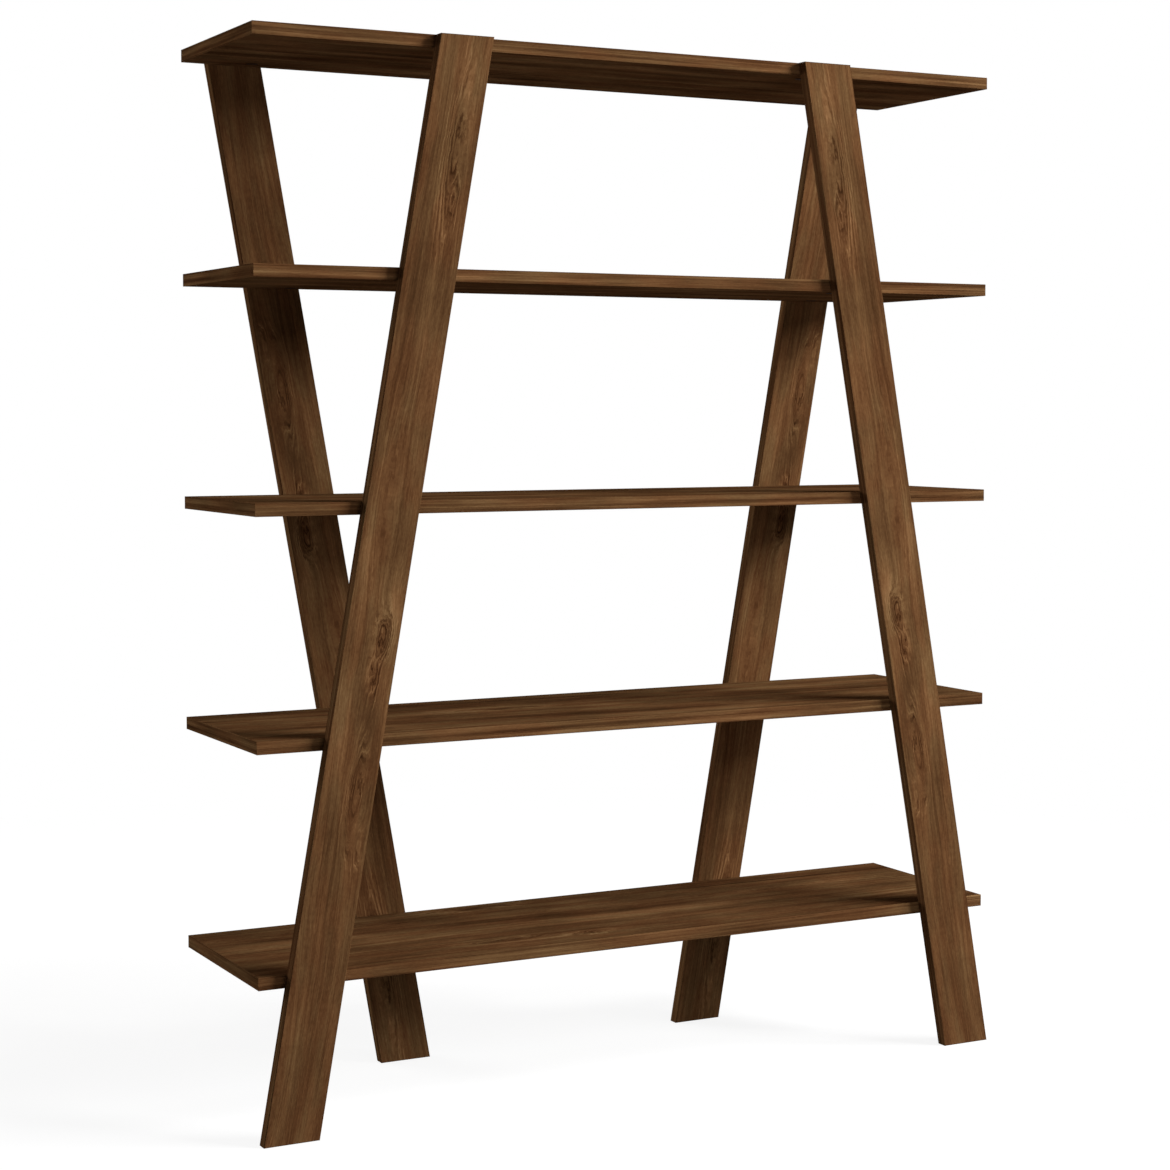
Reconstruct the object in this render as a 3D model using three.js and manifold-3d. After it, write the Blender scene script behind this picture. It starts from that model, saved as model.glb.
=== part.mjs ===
// Ladder shelf: five plain boards held between two pairs of flat leaning legs.
//
// The front pair of legs leans inwards towards the top, like the letter A, and the rear pair leans
// outwards, like the letter V. Each leg lies flat against the long edges of all five shelves, and
// front and rear legs cross at the middle shelf. Every shelf is pulled against each leg by one
// hidden cam fitting: a steel connecting bolt, screwed into the leg, runs through a bore in the
// shelf's edge, and a round cam in a pocket of the shelf's underside grips its head. A wooden
// dowel beside each bolt keeps the joint from turning; the boards have its holes.
//
// Millimetres, +Z up. The origin is on the floor, in the middle of the footprint: +X runs along the
// shelves to the right and +Y runs to the rear.

import * as THREE from "three";
import { mergeVertices } from "three/addons/utils/BufferGeometryUtils.js";
import Module from "manifold-3d";

const wasm = await Module();
wasm.setup();

// ---------- driving dimensions ----------

// Boards
const SHELF_LENGTH = 1200; // each shelf, along X
const SHELF_DEPTH = 300; // each shelf, along Y
const BOARD_THICKNESS = 18; // the shelves and the legs are cut from the same board
const SHELF_NAMES = ["shelf_bottom", "shelf_lower", "shelf_middle", "shelf_upper", "shelf_top"];
const BOTTOM_SHELF_HEIGHT = 228; // floor to the top face of the lowest shelf
const SHELF_PITCH = 320; // from one shelf's top face to the next one's

// Legs
const LEG_WIDTH = 79; // square to the leg's long edges
const LEG_LEAN = 10; // degrees from upright
const FOOT_INSET = 0; // at the floor, shelf end to the outer edge of a front leg

// Where the fittings sit in a joint
const FITTING_SPACING = 32; // bolt centre to dowel centre, along X
const CAM_SETBACK = 34; // shelf edge to the cam's centre

// Cam
const CAM_DIAMETER = 14.4;
const CAM_CLEARANCE = 0.3; // cam to the wall and to the end of its pocket
const CAM_RECESS = 0.6; // cam face below the board's face, room for a cover cap
const CAM_SIDES = 16;
const CLAW_WALL = 2.4; // cam metal left behind the bolt's head
const DRIVE_LENGTH = 7.2; // arms of the cross-shaped screwdriver recess
const DRIVE_WIDTH = 1.5;
const DRIVE_DEPTH = 2.2;

// Connecting bolt
const BOLT_SHANK_DIAMETER = 6;
const BOLT_COLLAR_DIAMETER = 7.2;
const BOLT_COLLAR_LENGTH = 1.6;
const BOLT_HEAD_DIAMETER = 6.4;
const BOLT_NECK_DIAMETER = 3.4;
const BOLT_NECK_LENGTH = 3.2;
const BOLT_HEAD_LENGTH = 3;
const BOLT_HEAD_DOME = 0.8; // how far the head narrows at its end
const BOLT_THREAD_DIAMETER = 5.8;
const BOLT_THREAD_LENGTH = 11; // screwed into the leg
const BOLT_POINT = 1; // taper at the tip of the thread
const BOLT_CLEARANCE = 0.35; // bolt to its bore, in the shelf and in the leg
const HEAD_CLEARANCE = 0.4; // bolt head and neck to the cam's claw
const POCKET_OVER_HEAD = 0.9; // cam's pocket above the room for the bolt's head
const BOLT_SIDES = 12;

// Dowel holes
const DOWEL_DIAMETER = 8;
const DOWEL_DEPTH_IN_SHELF = 22;
const DOWEL_DEPTH_IN_LEG = 11;
const DOWEL_SIDES = 12;

// ---------- what follows from them ----------

const leanSlope = Math.tan(THREE.MathUtils.degToRad(LEG_LEAN));
const legWidthLevel = LEG_WIDTH / Math.cos(THREE.MathUtils.degToRad(LEG_LEAN)); // along X
const shelfTops = SHELF_NAMES.map((_, i) => BOTTOM_SHELF_HEIGHT + i * SHELF_PITCH);
const overallHeight = shelfTops[shelfTops.length - 1]; // the legs end level with the top shelf
const frontFootX = SHELF_LENGTH / 2 - FOOT_INSET - legWidthLevel / 2;
const crossingHeight = shelfTops[2] - BOARD_THICKNESS / 2; // middle shelf, half its thickness
const crossingX = frontFootX - leanSlope * crossingHeight;
const frontLegX = (z) => crossingX - leanSlope * (z - crossingHeight); // leg centre at height z
const rearLegX = (z) => crossingX + leanSlope * (z - crossingHeight);

const boltDepth = BOARD_THICKNESS / 2; // bolt axis above the shelf's underside
const headRoom = BOLT_HEAD_DIAMETER / 2 + HEAD_CLEARANCE; // half the width of the head's chamber
const camPocketDepth = boltDepth + headRoom + POCKET_OVER_HEAD;
const camHeight = camPocketDepth - CAM_RECESS - CAM_CLEARANCE;
const camPocketDiameter = CAM_DIAMETER + 2 * CAM_CLEARANCE;
const boltBoreDiameter = BOLT_COLLAR_DIAMETER + 2 * BOLT_CLEARANCE;
const legBoreDiameter = BOLT_THREAD_DIAMETER + 2 * BOLT_CLEARANCE;
const headEnd = CAM_SETBACK + CAM_DIAMETER / 2 - CLAW_WALL - HEAD_CLEARANCE; // from the leg
const headStart = headEnd - BOLT_HEAD_LENGTH;
const neckStart = headStart - BOLT_NECK_LENGTH;

// The four corners of the shelf unit, each with its leg. side is -1 on the left and +1 on the
// right; face is -1 at the front and +1 at the rear.
const CORNERS = [
  { name: "front_left", side: -1, face: -1, legX: frontLegX },
  { name: "front_right", side: 1, face: -1, legX: frontLegX },
  { name: "rear_left", side: -1, face: 1, legX: rearLegX },
  { name: "rear_right", side: 1, face: 1, legX: rearLegX },
];

// ---------- materials ----------

const materials = {
  shelfBoard: new THREE.MeshStandardMaterial({ color: 0x5e3f27, roughness: 0.5, metalness: 0 }),
  legBoard: new THREE.MeshStandardMaterial({ color: 0x664630, roughness: 0.5, metalness: 0 }),
  camZinc: new THREE.MeshStandardMaterial({ color: 0xb4b6b8, roughness: 0.4, metalness: 0.9 }),
  boltSteel: new THREE.MeshStandardMaterial({ color: 0xc9c3a6, roughness: 0.35, metalness: 0.9 }),
};

// ---------- solids ----------

// A closed geometry as a manifold solid, for cutting.
function toSolid(geometry) {
  const bare = geometry.clone();
  bare.deleteAttribute("normal");
  bare.deleteAttribute("uv");
  const merged = mergeVertices(bare, 1e-4);
  const mesh = new wasm.Mesh({
    numProp: 3,
    vertProperties: merged.attributes.position.array,
    triVerts: new Uint32Array(merged.index.array),
  });
  return new wasm.Manifold(mesh);
}

// A manifold solid back as a geometry.
function toGeometry(solid) {
  const mesh = solid.getMesh();
  const geometry = new THREE.BufferGeometry();
  geometry.setAttribute("position", new THREE.BufferAttribute(mesh.vertProperties, 3));
  geometry.setIndex(new THREE.BufferAttribute(mesh.triVerts, 1));
  const flatShaded = geometry.toNonIndexed();
  flatShaded.computeVertexNormals();
  return flatShaded;
}

// A body less a list of cuts, each a geometry in the body's own place.
function cut(body, cuts) {
  return toGeometry(cuts.reduce((left, tool) => left.subtract(toSolid(tool)), toSolid(body)));
}

// A box given by its lowest and highest corners.
function box([x0, y0, z0], [x1, y1, z1]) {
  const geometry = new THREE.BoxGeometry(x1 - x0, y1 - y0, z1 - z0);
  return geometry.translate((x0 + x1) / 2, (y0 + y1) / 2, (z0 + z1) / 2);
}

// A cylinder along Y, from y0 to y1, for bores in a board's edge or face.
function boreAlongY(diameter, sides, x, y0, y1, z) {
  const geometry = new THREE.CylinderGeometry(diameter / 2, diameter / 2, Math.abs(y1 - y0), sides);
  return geometry.translate(x, (y0 + y1) / 2, z);
}

// A cylinder along Z, from z0 to z1, for the cam and its pocket.
function cylinderAlongZ(diameter, sides, x, y, z0, z1) {
  const geometry = new THREE.CylinderGeometry(diameter / 2, diameter / 2, z1 - z0, sides);
  return geometry.rotateX(Math.PI / 2).translate(x, y, (z0 + z1) / 2);
}

// Where the fittings of one joint sit: the bolt is on the side of the leg's middle that faces the
// shelf's middle, the dowel on the other side.
function jointAt(corner, shelfTop) {
  const z = shelfTop - BOARD_THICKNESS + boltDepth;
  const legX = corner.legX(z);
  return {
    z,
    face: corner.face,
    edgeY: (corner.face * SHELF_DEPTH) / 2,
    boltX: corner.side * (legX - FITTING_SPACING / 2),
    dowelX: corner.side * (legX + FITTING_SPACING / 2),
  };
}

// ---------- pieces ----------

// One shelf board with, for each of its four joints, the cam's pocket in the underside, the bolt's
// bore from the edge into that pocket, and the dowel's hole.
function shelfGeometry(shelfTop) {
  const underside = shelfTop - BOARD_THICKNESS;
  const board = box(
    [-SHELF_LENGTH / 2, -SHELF_DEPTH / 2, underside],
    [SHELF_LENGTH / 2, SHELF_DEPTH / 2, shelfTop],
  );
  const cuts = CORNERS.flatMap((corner) => {
    const { z, face, edgeY, boltX, dowelX } = jointAt(corner, shelfTop);
    const camY = edgeY - face * CAM_SETBACK;
    const outsideY = edgeY + face; // 1 mm outside the edge, so the bores open cleanly
    const dowelEndY = edgeY - face * DOWEL_DEPTH_IN_SHELF;
    return [
      cylinderAlongZ(camPocketDiameter, CAM_SIDES, boltX, camY, underside - 1, underside + camPocketDepth),
      boreAlongY(boltBoreDiameter, BOLT_SIDES, boltX, outsideY, camY, z),
      boreAlongY(DOWEL_DIAMETER, DOWEL_SIDES, dowelX, outsideY, dowelEndY, z),
    ];
  });
  return cut(board, cuts);
}

// One leg: a leaning board whose ends are cut level, at the floor and at the top shelf's top face,
// with a bolt bore and a dowel hole for each shelf.
function legGeometry(corner) {
  const outline = new THREE.Shape();
  const half = legWidthLevel / 2;
  const foot = corner.side * corner.legX(0);
  const head = corner.side * corner.legX(overallHeight);
  outline.moveTo(foot - half, 0);
  outline.lineTo(foot + half, 0);
  outline.lineTo(head + half, overallHeight);
  outline.lineTo(head - half, overallHeight);
  outline.closePath();
  const board = new THREE.ExtrudeGeometry(outline, { depth: BOARD_THICKNESS, bevelEnabled: false });
  board.rotateX(Math.PI / 2); // the outline now stands in the XZ plane, thickness towards -Y
  const innerY = (corner.face * SHELF_DEPTH) / 2;
  board.translate(0, corner.face < 0 ? innerY : innerY + BOARD_THICKNESS, 0);

  const cuts = shelfTops.flatMap((shelfTop) => {
    const { z, face, boltX, dowelX } = jointAt(corner, shelfTop);
    const inside = innerY - face; // 1 mm inside the shelf's edge
    const boltEnd = innerY + face * (BOLT_THREAD_LENGTH + BOLT_CLEARANCE);
    const dowelEnd = innerY + face * DOWEL_DEPTH_IN_LEG;
    return [
      boreAlongY(legBoreDiameter, BOLT_SIDES, boltX, inside, boltEnd, z),
      boreAlongY(DOWEL_DIAMETER, DOWEL_SIDES, dowelX, inside, dowelEnd, z),
    ];
  });
  return cut(board, cuts);
}

// The connecting bolt, turned about its own Y axis: thread at -Y, collar on the leg's face at
// y = 0, then the shank, the thin neck and the head that the cam grips.
function boltGeometry() {
  const thread = BOLT_THREAD_DIAMETER / 2;
  const collar = BOLT_COLLAR_DIAMETER / 2;
  const shank = BOLT_SHANK_DIAMETER / 2;
  const neck = BOLT_NECK_DIAMETER / 2;
  const head = BOLT_HEAD_DIAMETER / 2;
  const profile = [
    [0, -BOLT_THREAD_LENGTH],
    [thread - BOLT_POINT, -BOLT_THREAD_LENGTH],
    [thread, -BOLT_THREAD_LENGTH + BOLT_POINT],
    [thread, BOLT_CLEARANCE],
    [collar, BOLT_CLEARANCE],
    [collar, BOLT_CLEARANCE + BOLT_COLLAR_LENGTH],
    [shank, BOLT_CLEARANCE + BOLT_COLLAR_LENGTH],
    [shank, neckStart],
    [neck, neckStart],
    [neck, headStart],
    [head, headStart],
    [head, headEnd - BOLT_HEAD_DOME],
    [head - BOLT_HEAD_DOME, headEnd],
    [0, headEnd],
  ].map(([radius, y]) => new THREE.Vector2(radius, y));
  return new THREE.LatheGeometry(profile, BOLT_SIDES);
}

// The cam about its own centre, with its face at z = 0 and +Y towards the bolt's head: a chamber
// for the head, a narrower way out for the neck, and the cross recess in its face.
function camGeometry() {
  const body = cylinderAlongZ(CAM_DIAMETER, CAM_SIDES, 0, 0, 0, camHeight);
  const boltHeight = boltDepth - CAM_RECESS; // bolt axis above the cam's face
  const neckRoom = BOLT_NECK_DIAMETER / 2 + HEAD_CLEARANCE;
  const headFrom = headStart - CAM_SETBACK - HEAD_CLEARANCE;
  const headTo = headEnd - CAM_SETBACK + HEAD_CLEARANCE;
  const shankTo = neckStart - CAM_SETBACK + HEAD_CLEARANCE;
  const shankRoom = BOLT_SHANK_DIAMETER / 2 + HEAD_CLEARANCE;
  const above = camHeight + 1;
  const chamber = box([-headRoom, headFrom, boltHeight - headRoom], [headRoom, headTo, above]);
  const wayOut = box([-neckRoom, shankTo - 1, boltHeight - neckRoom], [neckRoom, headFrom + 1, above]);
  const mouth = box([-shankRoom, -CAM_DIAMETER, boltHeight - shankRoom], [shankRoom, shankTo, above]);
  const arm = DRIVE_LENGTH / 2;
  const slot = DRIVE_WIDTH / 2;
  const crossX = box([-arm, -slot, -1], [arm, slot, DRIVE_DEPTH]);
  const crossY = box([-slot, -arm, -1], [slot, arm, DRIVE_DEPTH]);
  return cut(body, [chamber, wayOut, mouth, crossX, crossY]);
}

// ---------- assembly ----------

const ladderShelf = new THREE.Group();

function addPiece(name, geometry, material) {
  const mesh = new THREE.Mesh(geometry, material);
  mesh.name = name;
  ladderShelf.add(mesh);
  return mesh;
}

SHELF_NAMES.forEach((name, i) => {
  addPiece(name, shelfGeometry(shelfTops[i]), materials.shelfBoard);
});

for (const corner of CORNERS) {
  addPiece(`leg_${corner.name}`, legGeometry(corner), materials.legBoard);
}

const bolt = boltGeometry();
const cam = camGeometry();

SHELF_NAMES.forEach((shelfName, i) => {
  for (const corner of CORNERS) {
    const { z, face, edgeY, boltX } = jointAt(corner, shelfTops[i]);
    const joint = `${shelfName.replace("shelf_", "")}_${corner.name}`;
    const towardsMiddle = face < 0 ? 0 : Math.PI; // a rear fitting is turned half round
    const boltMesh = addPiece(`bolt_${joint}`, bolt, materials.boltSteel);
    boltMesh.position.set(boltX, edgeY, z);
    boltMesh.rotation.z = towardsMiddle;
    const camMesh = addPiece(`cam_${joint}`, cam, materials.camZinc);
    const camFaceZ = shelfTops[i] - BOARD_THICKNESS + CAM_RECESS;
    camMesh.position.set(boltX, edgeY - face * CAM_SETBACK, camFaceZ);
    camMesh.rotation.z = towardsMiddle;
  }
});

export default ladderShelf;
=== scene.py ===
# %% [markdown]
# # Ladder shelf, the looks
#
# A ladder shelf is nine plain boards: five shelves held between a front pair of legs that lean in
# and a rear pair that lean out. The boards are chipboard, faced with a printed walnut decor and
# closed round their edges with thin glued strips. Nothing holds them together that shows: a steel
# bolt and a zinc cam sit inside every joint, with a beech dowel beside them and a brown plastic
# cover over the cam.
#
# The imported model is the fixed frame. It says where every board, bolt and cam is; this script
# builds the fine surfaces round it and gives every piece its finish.

# %% Load the frame
import math

import bpy
import numpy as np
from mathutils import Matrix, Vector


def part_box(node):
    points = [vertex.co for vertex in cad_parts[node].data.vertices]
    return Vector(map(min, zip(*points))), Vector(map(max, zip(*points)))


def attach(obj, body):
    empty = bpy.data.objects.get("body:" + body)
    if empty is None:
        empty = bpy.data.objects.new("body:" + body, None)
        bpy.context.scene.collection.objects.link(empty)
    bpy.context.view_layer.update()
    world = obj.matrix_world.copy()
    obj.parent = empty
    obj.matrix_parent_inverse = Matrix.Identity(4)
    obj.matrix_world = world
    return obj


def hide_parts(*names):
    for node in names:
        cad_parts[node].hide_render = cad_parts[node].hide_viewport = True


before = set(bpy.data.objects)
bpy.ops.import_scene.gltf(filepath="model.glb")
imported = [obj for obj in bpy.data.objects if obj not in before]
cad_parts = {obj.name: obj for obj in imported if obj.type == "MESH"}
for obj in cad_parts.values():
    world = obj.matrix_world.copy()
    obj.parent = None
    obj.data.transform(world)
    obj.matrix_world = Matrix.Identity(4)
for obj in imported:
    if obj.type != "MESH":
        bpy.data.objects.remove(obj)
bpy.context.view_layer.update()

MM = 0.001

# %% [markdown]
# ## Camera
#
# The unit is looked at from its left, from about three and a half metres away and one metre above
# the floor, with a lens half again as long as a normal one, which keeps the boards nearly
# parallel. The camera looks slightly down, and its lens is shifted a little, as on a view camera,
# so the upright lines stay calm.

# %% Make the camera
CAMERA_PLACE = (-1.686, -3.203, 0.997)
CAMERA_YAW = 27.76  # degrees to the right of straight ahead
CAMERA_PITCH = -2.74  # degrees up from level
CAMERA_LENS = 74.0  # mm, on a 36 mm wide sensor
CAMERA_SHIFT = (-0.0132, -0.0538)

camera_data = bpy.data.cameras.new("view_camera")
camera_data.lens = CAMERA_LENS
camera_data.shift_x, camera_data.shift_y = CAMERA_SHIFT
camera = bpy.data.objects.new("view_camera", camera_data)
camera.location = CAMERA_PLACE
camera.rotation_euler = (math.radians(90 + CAMERA_PITCH), 0, math.radians(-CAMERA_YAW))
bpy.context.scene.collection.objects.link(camera)
bpy.context.scene.camera = camera
print("camera:", CAMERA_LENS, "mm lens at", CAMERA_PLACE)

# %% [markdown]
# ## Wires: a short way to write shader nodes
#
# A shader is a small program drawn as boxes and wires. Written out in full, each box takes five
# lines, and the idea is lost among them. This helper adds one node and joins its inputs in a
# single call: an input may be a number, a colour or another node's output.

# %% A helper for shader nodes


class Wires:
    """Adds nodes to one node tree. Inputs are numbers, colours or output sockets."""

    def __init__(self, tree):
        self.tree = tree

    def add(self, kind, inputs=(), **settings):
        """A node with its settings, and inputs given as {name or index: value}."""
        node = self.tree.nodes.new(kind)
        for name, value in settings.items():
            setattr(node, name, value)
        for key, value in dict(inputs).items():
            if isinstance(value, bpy.types.NodeSocket):
                self.tree.links.new(value, node.inputs[key])
            elif value is not None:
                node.inputs[key].default_value = value
        return node

    def maths(self, operation, *values):
        """One step of arithmetic on numbers."""
        return self.add("ShaderNodeMath", enumerate(values), operation=operation).outputs[0]

    def vector(self, operation, *values):
        """One step of arithmetic on vectors; a length or a dot product comes out as a number."""
        node = self.add("ShaderNodeVectorMath", enumerate(values), operation=operation)
        return node.outputs["Value" if operation in ("LENGTH", "DOT_PRODUCT") else "Vector"]

    def spread(self, along, across, stretch):
        """The point (along, across) scaled by stretch, as a vector for a 2D pattern."""
        point = self.add("ShaderNodeCombineXYZ", {0: along, 1: across}).outputs[0]
        return self.vector("MULTIPLY", point, (*stretch, 1))

    def noise(self, vector, detail=2.0, roughness=0.5, output=0):
        """Cloudy 2D noise, from 0 to 1 round a middle of one half."""
        inputs = {"Vector": vector, "Scale": 1.0, "Detail": detail, "Roughness": roughness}
        return self.add("ShaderNodeTexNoise", inputs, noise_dimensions="2D").outputs[output]

    def remap(self, value, low, high, to_low=0.0, to_high=1.0):
        """value taken from the range low..high to the range to_low..to_high, and held there."""
        inputs = enumerate((value, low, high, to_low, to_high))
        return self.add("ShaderNodeMapRange", inputs, interpolation_type="SMOOTHSTEP").outputs[0]

    def mix(self, factor, a, b):
        """Colour a where factor is 0 and colour b where it is 1."""
        return self.add("ShaderNodeMix", {0: factor, 6: a, 7: b}, data_type="RGBA").outputs[2]

    def ramp(self, value, stops):
        """A colour for each value, through the stops (place, colour)."""
        node = self.add("ShaderNodeValToRGB", {0: value})
        while len(node.color_ramp.elements) < len(stops):
            node.color_ramp.elements.new(0.5)
        for element, (place, colour) in zip(node.color_ramp.elements, stops):
            element.position, element.color = place, colour
        return node.outputs[0]


def linear(red, green, blue):
    """A screen colour, 0 to 255 per channel, as the linear colour that Blender works in.

    This is the standard screen curve: straight for the darkest tones and a power of 2.4 above.
    """
    screen = np.array((red, green, blue)) / 255
    low, high = screen / 12.92, ((screen + 0.055) / 1.055) ** 2.4
    return (*np.where(screen <= 0.04045, low, high).round(5).tolist(), 1.0)


def new_group(name, takes, gives):
    """An empty shader group with named sockets: {name: "NodeSocketFloat", ...}."""
    tree = bpy.data.node_groups.new(name, "ShaderNodeTree")
    for label, kind in takes.items():
        tree.interface.new_socket(label, in_out="INPUT", socket_type=kind)
    for label, kind in gives.items():
        tree.interface.new_socket(label, in_out="OUTPUT", socket_type=kind)
    wires = Wires(tree)
    entry = wires.add("NodeGroupInput")
    leave = wires.add("NodeGroupOutput")
    return tree, wires, entry.outputs, leave.inputs


print("node helper ready; mid walnut in linear colour is", linear(104, 71, 44))

# %% [markdown]
# ## The decor sheet
#
# Boards like these are wrapped in a printed sheet. The print repeats the same figures, and each
# board shows the stretch of it that it was cut from. The material works the same way: one endless
# walnut pattern lies on a flat sheet measured in metres, along the grain and across it, and every
# board's UV map says which stretch it covers. The figures sit at chosen places on the sheet.
#
# Growth lines are the contour lines of a slope that rises across the grain. A figure is a hill or
# a hollow on that slope: the lines swing round it, and where it is steeper than the slope they
# close into an eye. That one rule gives straight grain, cathedrals and knots alike.

# %% Shader group: growth lines
NUMBER, COLOUR, VECTOR = "NodeSocketFloat", "NodeSocketColor", "NodeSocketVector"

# Hills on the sheet: (along, across, half length, half width, height) in metres, and how strongly
# the hill is drawn. The legs are cut from the strip round across = 0, the shelves from 0.35 to 0.76.
LEG_FIGURES = [
    (0.482, 0.010, 0.066, 0.0100, 0.028, 0.9),  # the flame
    (0.412, 0.026, 0.034, 0.0060, 0.012, 0.5),
    (0.706, 0.017, 0.030, 0.0115, -0.034, 1.0),  # the knot
    (0.648, 0.012, 0.026, 0.0075, -0.014, 1.0),  # and its tail
    (1.380, 0.006, 0.110, 0.0120, 0.022, 0.7),  # the tongue
    (1.312, 0.018, 0.040, 0.0060, -0.012, 0.8),
    (0.900, -0.020, 0.150, 0.0150, 0.014, 0.0),
    (0.120, -0.030, 0.160, 0.0160, -0.012, 0.0),
]
SHELF_FIGURES = [
    (0.392, 0.404, 0.058, 0.0095, 0.026, 1.0),
    (0.532, 0.398, 0.032, 0.0110, -0.030, 1.0),
    (0.440, 0.630, 0.070, 0.0130, -0.020, 1.0),
    (0.150, 0.575, 0.200, 0.0180, 0.018, 0.0),
    (0.980, 0.560, 0.240, 0.0160, -0.014, 0.0),
]
FIGURES = LEG_FIGURES + SHELF_FIGURES
WANDER = 0.016  # metres that the grain drifts to and fro
DRIFT_WAVES = (1.7, 6.0, 1)  # drifts per metre, along the grain and across it
SHAKE = (0.052, 0.013, 0)  # metres that a figure's outline is pushed about: no eye is a clean oval
SHAKE_WAVES = (18, 80, 1)


def make_growth_group():
    """Growth = across + slow drift + the sum of hills, each height * exp(-(distance / size)^2)."""
    tree, w, entry, leave = new_group(
        "growth_lines",
        {"Sheet": VECTOR},
        {"Along": NUMBER, "Across": NUMBER, "Growth": NUMBER, "Figure": NUMBER},
    )
    sheet = entry["Sheet"]
    waves = w.vector("MULTIPLY", sheet, SHAKE_WAVES)
    jitter = w.noise(waves, detail=4, roughness=0.6, output="Color")
    push = w.vector("MULTIPLY", w.vector("SUBTRACT", jitter, (0.5, 0.5, 0.5)), SHAKE)
    shaken = w.vector("ADD", sheet, push)
    parts = w.add("ShaderNodeSeparateXYZ", {0: sheet})
    along, across = parts.outputs[0], parts.outputs[1]
    drift = w.noise(w.vector("MULTIPLY", sheet, DRIFT_WAVES), detail=2)
    growth = w.maths("MULTIPLY_ADD", w.maths("SUBTRACT", drift, 0.5), 2 * WANDER, across)
    figure = 0.0
    for at_along, at_across, half_length, half_width, height, drawn in FIGURES:
        away = w.vector("SUBTRACT", shaken, (at_along, at_across, 0))
        away = w.vector("DIVIDE", away, (half_length, half_width, 1))
        hill = w.maths("EXPONENT", w.maths("MULTIPLY", w.vector("DOT_PRODUCT", away, away), -1.0))
        growth = w.maths("MULTIPLY_ADD", hill, height, growth)
        figure = w.maths("MAXIMUM", w.maths("MULTIPLY", hill, drawn), figure)
    for name, value in (("Along", along), ("Across", across), ("Growth", growth), ("Figure", figure)):
        tree.links.new(value, leave[name])
    return tree


growth_group = make_growth_group()
print("growth lines:", len(FIGURES), "figures,", len(growth_group.nodes), "nodes")

# %% [markdown]
# ## Walnut from growth lines
#
# Walnut has several scales of detail. Broad bands of darker heartwood run along the board, with
# streaks a few millimetres wide inside them and short fibres on top. All are noise stretched along
# the grain and read at the growth coordinate, so they bend round every figure together. Round a
# figure thin dark rings follow the growth lines, the flanks turn lighter and the heart darker.
# A slow drift of hue, redder here and more golden there, keeps the brown from looking painted.

# %% Shader group: walnut
DARK_WALNUT = linear(52, 31, 15)
BROWN_WALNUT = linear(87, 58, 35)
WARM_WALNUT = linear(109, 78, 49)
PALE_WALNUT = linear(147, 112, 75)
RED_TINT = (1.05, 0.98, 0.97, 1)
GOLD_TINT = (0.99, 1.03, 1.04, 1)
TONE_STOPS = (0.0, 0.38, 0.62, 1.0)  # the tone at which each of the four browns is reached
LINED_FIELD = (0.46, 0.56)  # across the sheet, where long dark lines grow to their full strength
LINED_SHARE = (0.3, 1.0)  # of that strength, below the field and above it
NOISE_LAYERS = [  # (waves per metre along, waves per metre across, detail, amount)
    (7, 22, 2, 0.46),  # clouds
    (1.5, 24, 3, 0.78),  # heartwood bands
    (3.2, 210, 4, 0.46),  # streaks
    (14, 1000, 2, 0.26),  # threads
    (55, 640, 2, 0.32),  # fibres
    (170, 420, 1, 0.20),  # flecks
]
# What is drawn over the noise, as a change of tone.
FLANK_LIGHT, PALE_LINE, HEART_DARK, RING_DARK, LINE_DARK = 0.10, 0.24, -0.13, -0.34, -0.45
# Waves per metre along and across: breaks in the rings, their wobble, long lines, gaps in them, hue.
BREAK_WAVES, WOBBLE_WAVES = (22, 60), (70, 160)
LINE_WAVES, GAP_WAVES, HUE_WAVES = (0.8, 95), (5, 40), (9, 36)
# Ranges over which each thing sets in, from nothing to all of it.
BREAKS, GAPS, HUES = (0.36, 0.56), (0.34, 0.54), (0.35, 0.65)  # of the noise
RINGS, PALE_LINES = (0.06, 0.40), (0.01, 0.12)  # of the figure's strength
FLANK_RISE, FLANK_FALL, HEARTS = (0.02, 0.25), (0.65, 0.30), (0.30, 0.95)
# A ring's cross-section: growth turns over once per spacing, and 0 is the middle of the dark ring.
RING_SPACING = 0.008  # metres of growth
RING_WOBBLE = 0.5  # of the spacing
RING_EDGE, PALE_EDGE = (0.04, 0.22), (0.34, 0.48)
LINE_WIDTH = 0.024  # of the noise's range, either side of its middle


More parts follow.
